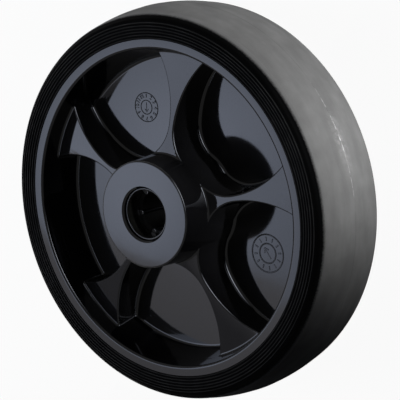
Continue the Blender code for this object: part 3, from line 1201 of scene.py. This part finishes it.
@dataclass
class Studio:
    """White floor, a softbox and a panel that the glossy surfaces mirror, lamps, a flag and the camera."""

    view: Spot = Spot(6.56, 49.17, 1.652, (0.0033, -0.0005, MID_HEIGHT))
    roll: float = 106.41
    lens: float = 297.0
    floor_size: float = 8.0
    floor_colour: str = "#303030"
    white: float = 0.94
    air_light: float = 0.008
    air_mirrored: float = 0.2
    # The softbox hangs where the flats mirror it into the camera, turned by its slant. Its X runs across it,
    # and past its edge only its spill is seen
    box: Spot = Spot(186.56, 49.17, 1.3)
    box_size: float = 1.0
    box_slant: Point = (0.83, 0.56)
    box_light: float = 1.27
    box_rim: float = 1.6
    rim_from: float = 0.15
    rim_to: float = 0.45
    core_light: float = 1.27
    core_shift: Place = (0.36, 0.18, 0.0)
    core_scale: Place = (9.0, 9.0, 1.0)
    box_edge: float = 0.0446
    edge_half: float = 0.002
    spill_light: float = 0.92
    spill_end: float = 0.2
    spill_to: float = 0.32
    box_tint: Tint = (0.86, 0.95, 1.19, 1.0)
    spill_tint: Tint = (0.98, 0.97, 1.05, 1.0)
    key: Spot = Spot(49.0, -1.5, 0.38)
    key_size: float = 0.06
    key_power: float = 0.83
    back: Spot = Spot(172.0, 18.0)
    back_size: float = 0.9
    back_power: float = 22.0
    snoot: Spot = Spot(10.0, 14.0, aim=(0.098, 0.009, 0.025))
    snoot_cone: float = 3.8
    snoot_size: float = 0.05
    snoot_power: float = 255.0
    panel: Spot = Spot(22.0, 22.0)
    panel_width: float = 2.4
    panel_height: float = 1.0
    panel_light: float = 8.0
    panel_tint: Tint = (0.92, 0.97, 1.1, 1.0)
    flag_azimuth: float = -50.0
    flag_size: float = 2.4
    flag_height: float = 0.0005
    flag_colour: str = "#0c0c0c"

    def camera(self) -> None:
        """Sets the camera at the photograph's view."""
        deselect()
        bpy.ops.object.camera_add()
        item = bpy.context.active_object
        item.name = "camera"
        item.data.lens = self.lens
        item.data.sensor_width = 36.0
        item.data.clip_end = 50.0
        facing = (-self.view.toward).to_track_quat("-Z", "Y").to_matrix()
        turn = facing @ Matrix.Rotation(math.radians(-self.roll), 3, "Z")
        item.matrix_world = Matrix.LocRotScale(self.view.place, turn, None)
        bpy.context.scene.camera = item

    def card(self, name: str, size: float, material: str, *hidden_from: str) -> tuple[Object, Tree]:
        """Lays a square card of the studio at the origin.

        Args:
            name: its name.
            size: length of its side.
            material: name of its material.
            hidden_from: kinds of rays that don't see it.

        Returns:
            The card, and its material's empty node tree.
        """
        deselect()
        bpy.ops.mesh.primitive_plane_add(size=size)
        item = bpy.context.active_object
        item.name = name
        made, tree = new_material(material)
        item.data.materials.append(made)
        for rays in hidden_from:
            setattr(item, f"visible_{rays}", False)
        return item, tree

    def seen_directly(self, tree: Tree) -> Socket:
        """Socket that is 1 for what the camera, a reflection or a transmission sees, and 0 for scattered light."""
        path = add_node(tree, "LightPath").node.outputs
        rays = {0: path["Is Glossy Ray"], 1: path["Is Transmission Ray"]}
        mirrored = add_node(tree, "Math", rays, operation="MAXIMUM")
        return add_node(tree, "Math", {0: path["Is Camera Ray"], 1: mirrored}, operation="MAXIMUM")

    def floor(self) -> None:
        """Lays the plain floor, pale to the eye and grey to the lamps, so that it throws little light back."""
        _, tree = self.card("studio_floor", self.floor_size, "matt_studio_floor_white")
        seen = {0: self.seen_directly(tree), 1: self.white}
        strength = add_node(tree, "Math", seen, operation="MULTIPLY")
        glow = add_node(tree, "Emission", {"Color": WHITE, "Strength": strength})
        look = {"Base Color": linear(self.floor_colour), "Roughness": 0.9}
        matt = add_node(tree, "BsdfPrincipled", look)
        both = add_node(tree, "AddShader", {0: glow, 1: matt})
        add_node(tree, "OutputMaterial", {"Surface": both})

    def world(self) -> None:
        """Gives the world a weak grey light and a white look to the camera."""
        world = bpy.data.worlds.new("studio_air")
        world.use_nodes = True
        tree = world.node_tree
        tree.nodes.clear()
        path = add_node(tree, "LightPath").node.outputs
        air = {0: path["Is Glossy Ray"], 1: self.air_mirrored, 2: self.air_light}
        mirrored = add_node(tree, "Math", air, operation="MULTIPLY_ADD")
        rays = {0: path["Is Camera Ray"], 1: mirrored}
        strength = add_node(tree, "Math", rays, operation="MAXIMUM")
        back = add_node(tree, "Background", {"Color": WHITE, "Strength": strength})
        add_node(tree, "OutputWorld", {"Surface": back})
        bpy.context.scene.world = world

    def box_light_at(self, tree: Tree, here: Socket) -> Socket:
        """Light of the softbox's cloth: bright round its core, and again towards its rim.

        Args:
            tree: the cloth's node tree.
            here: object coordinates.

        Returns:
            The strength.
        """
        shift = {"Vector": here, "Location": self.core_shift, "Scale": self.core_scale}
        centred = add_node(tree, "Mapping", shift)
        away = add_node(tree, "VectorMath", {0: centred, 1: centred}, "Value", operation="DOT_PRODUCT")
        fall = add_node(tree, "Math", {0: away, 1: -1.0}, operation="MULTIPLY")
        core = add_node(tree, "Math", {0: math.e, 1: fall}, operation="POWER")
        radius = add_node(tree, "VectorMath", {0: here}, "Value", operation="LENGTH")
        rise = {"Value": radius, "From Min": self.rim_from, "From Max": self.rim_to}
        rise |= {"To Min": self.box_light, "To Max": self.box_light * self.box_rim}
        wide = add_node(tree, "MapRange", rise)
        both = {0: core, 1: self.core_light, 2: wide}
        return add_node(tree, "Math", both, operation="MULTIPLY_ADD")

    def softbox(self) -> None:
        """Hangs the softbox that the camera sees in the front flats, with a slanted edge."""
        toward = self.box.toward
        level = Vector((0.0, 0.0, 1.0)).cross(toward).normalized()
        upward = toward.cross(level)
        across = (level * self.box_slant[0] - upward * self.box_slant[1]).normalized()
        item, tree = self.card("softbox", self.box_size, "softbox_cloth_lit", "camera", "shadow")
        axes = Matrix((across, toward.cross(across), toward)).transposed()
        item.matrix_world = Matrix.Translation(self.box.place) @ axes.to_4x4()
        here = add_node(tree, "TexCoord", out="Object")
        side = add_node(tree, "SeparateXYZ", {"Vector": here}, "X")
        fall = {"Value": side, "From Min": self.box_edge, "From Max": self.spill_to}
        fall |= {"To Min": self.spill_light, "To Max": self.spill_end}
        spill = add_node(tree, "MapRange", fall)
        edge = {"From Min": self.box_edge - self.edge_half, "From Max": self.box_edge + self.edge_half}
        past = add_node(tree, "MapRange", {"Value": side} | edge, interpolation_type="SMOOTHSTEP")
        lights = {"Factor": past, 2: self.box_light_at(tree, here), 3: spill}
        strength = add_node(tree, "Mix", lights, data_type="FLOAT")
        tints = {"Factor": past, 6: self.box_tint, 7: self.spill_tint}
        tint = add_node(tree, "Mix", tints, 2, data_type="RGBA")
        glow = add_node(tree, "Emission", {"Color": tint, "Strength": strength})
        add_node(tree, "OutputMaterial", {"Surface": glow})

    def hang(self, item: Object, spot: Spot) -> None:
        """Hangs a lamp or a panel so that it faces its aim, out of the camera's sight."""
        item.location = spot.place
        item.rotation_euler = spot.toward.to_track_quat("Z", "Y").to_euler()
        item.visible_camera = False

    def lamp(self, name: str, kind: str, watts: float, spot: Spot) -> bpy.types.Light:
        """Hangs a lamp that no surface mirrors.

        Args:
            name: its name.
            kind: "AREA" or "SPOT".
            watts: its power.
            spot: where it hangs.

        Returns:
            Its settings.
        """
        deselect()
        bpy.ops.object.light_add(type=kind)
        item = bpy.context.active_object
        item.name = name
        item.data.energy = watts
        item.visible_glossy = False
        self.hang(item, spot)
        return item.data

    def lamps(self) -> None:
        """Hangs a key lamp beside the tread, a lamp for the far side and a snoot on the tread's front."""
        key = self.lamp("key_lamp", "AREA", self.key_power, self.key)
        back = self.lamp("back_lamp", "AREA", self.back_power, self.back)
        for lamp, size in ((key, self.key_size), (back, self.back_size)):
            lamp.shape = "SQUARE"
            lamp.size = size
        snoot = self.lamp("snoot_lamp", "SPOT", self.snoot_power, self.snoot)
        snoot.spot_size = math.radians(self.snoot_cone)
        snoot.spot_blend = 1.0
        snoot.shadow_soft_size = self.snoot_size

    def edge_panel(self) -> None:
        """Hangs a panel, bright in its middle, that the rounded edges mirror as thin lines with soft ends."""
        item, tree = self.card("edge_panel", 1.0, "panel_cloth_lit", "diffuse", "shadow")
        item.scale = (self.panel_width, self.panel_height, 1.0)
        here = add_node(tree, "TexCoord", out="Object")
        away = add_node(tree, "VectorMath", {0: here}, "Value", operation="LENGTH")
        fade = {"Value": away, "From Max": 0.5, "To Min": self.panel_light, "To Max": 0.0}
        strength = add_node(tree, "MapRange", fade, interpolation_type="SMOOTHERSTEP")
        glow = add_node(tree, "Emission", {"Color": self.panel_tint, "Strength": strength})
        add_node(tree, "OutputMaterial", {"Surface": glow})
        self.hang(item, self.panel)

    def flag(self) -> None:
        """Lays a black card on the floor under the tread's shaded side, seen by mirrored light alone."""
        hidden_from = ("camera", "diffuse", "shadow")
        item, tree = self.card("black_flag", self.flag_size, "matt_flag_card_black", *hidden_from)
        look = {"Base Color": linear(self.flag_colour), "Roughness": 0.9}
        surface = add_node(tree, "BsdfPrincipled", look)
        add_node(tree, "OutputMaterial", {"Surface": surface})
        turn = Matrix.Rotation(math.radians(self.flag_azimuth), 4, "Z")
        item.matrix_world = turn @ Matrix.Translation((self.flag_size / 2, 0.0, self.flag_height))

    def build(self) -> None:
        """Sets up floor, air, lights, the black flag and the camera."""
        bpy.context.scene.view_settings.view_transform = "Standard"
        self.floor()
        self.world()
        self.softbox()
        self.lamps()
        self.edge_panel()
        self.flag()
        self.camera()
        LOG.info("studio ready")


def main() -> None:
    """Builds the wheel's pieces and the studio."""
    logging.basicConfig(level=logging.INFO, format="%(message)s")
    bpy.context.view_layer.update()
    Tyre().build()
    WheelCentre().build()
    RollerBearing().build()
    MouldDial("month_dial", 108.0, 0.0525, 0.0074, numbered=True, inner_ring=0.48).build()
    MouldDial("tick_dial", -36.0, 0.0526, 0.0096, numbered=False, inner_ring=0.52, line=0.0008).build()
    Studio().build()


if __name__ == "__main__":
    main()
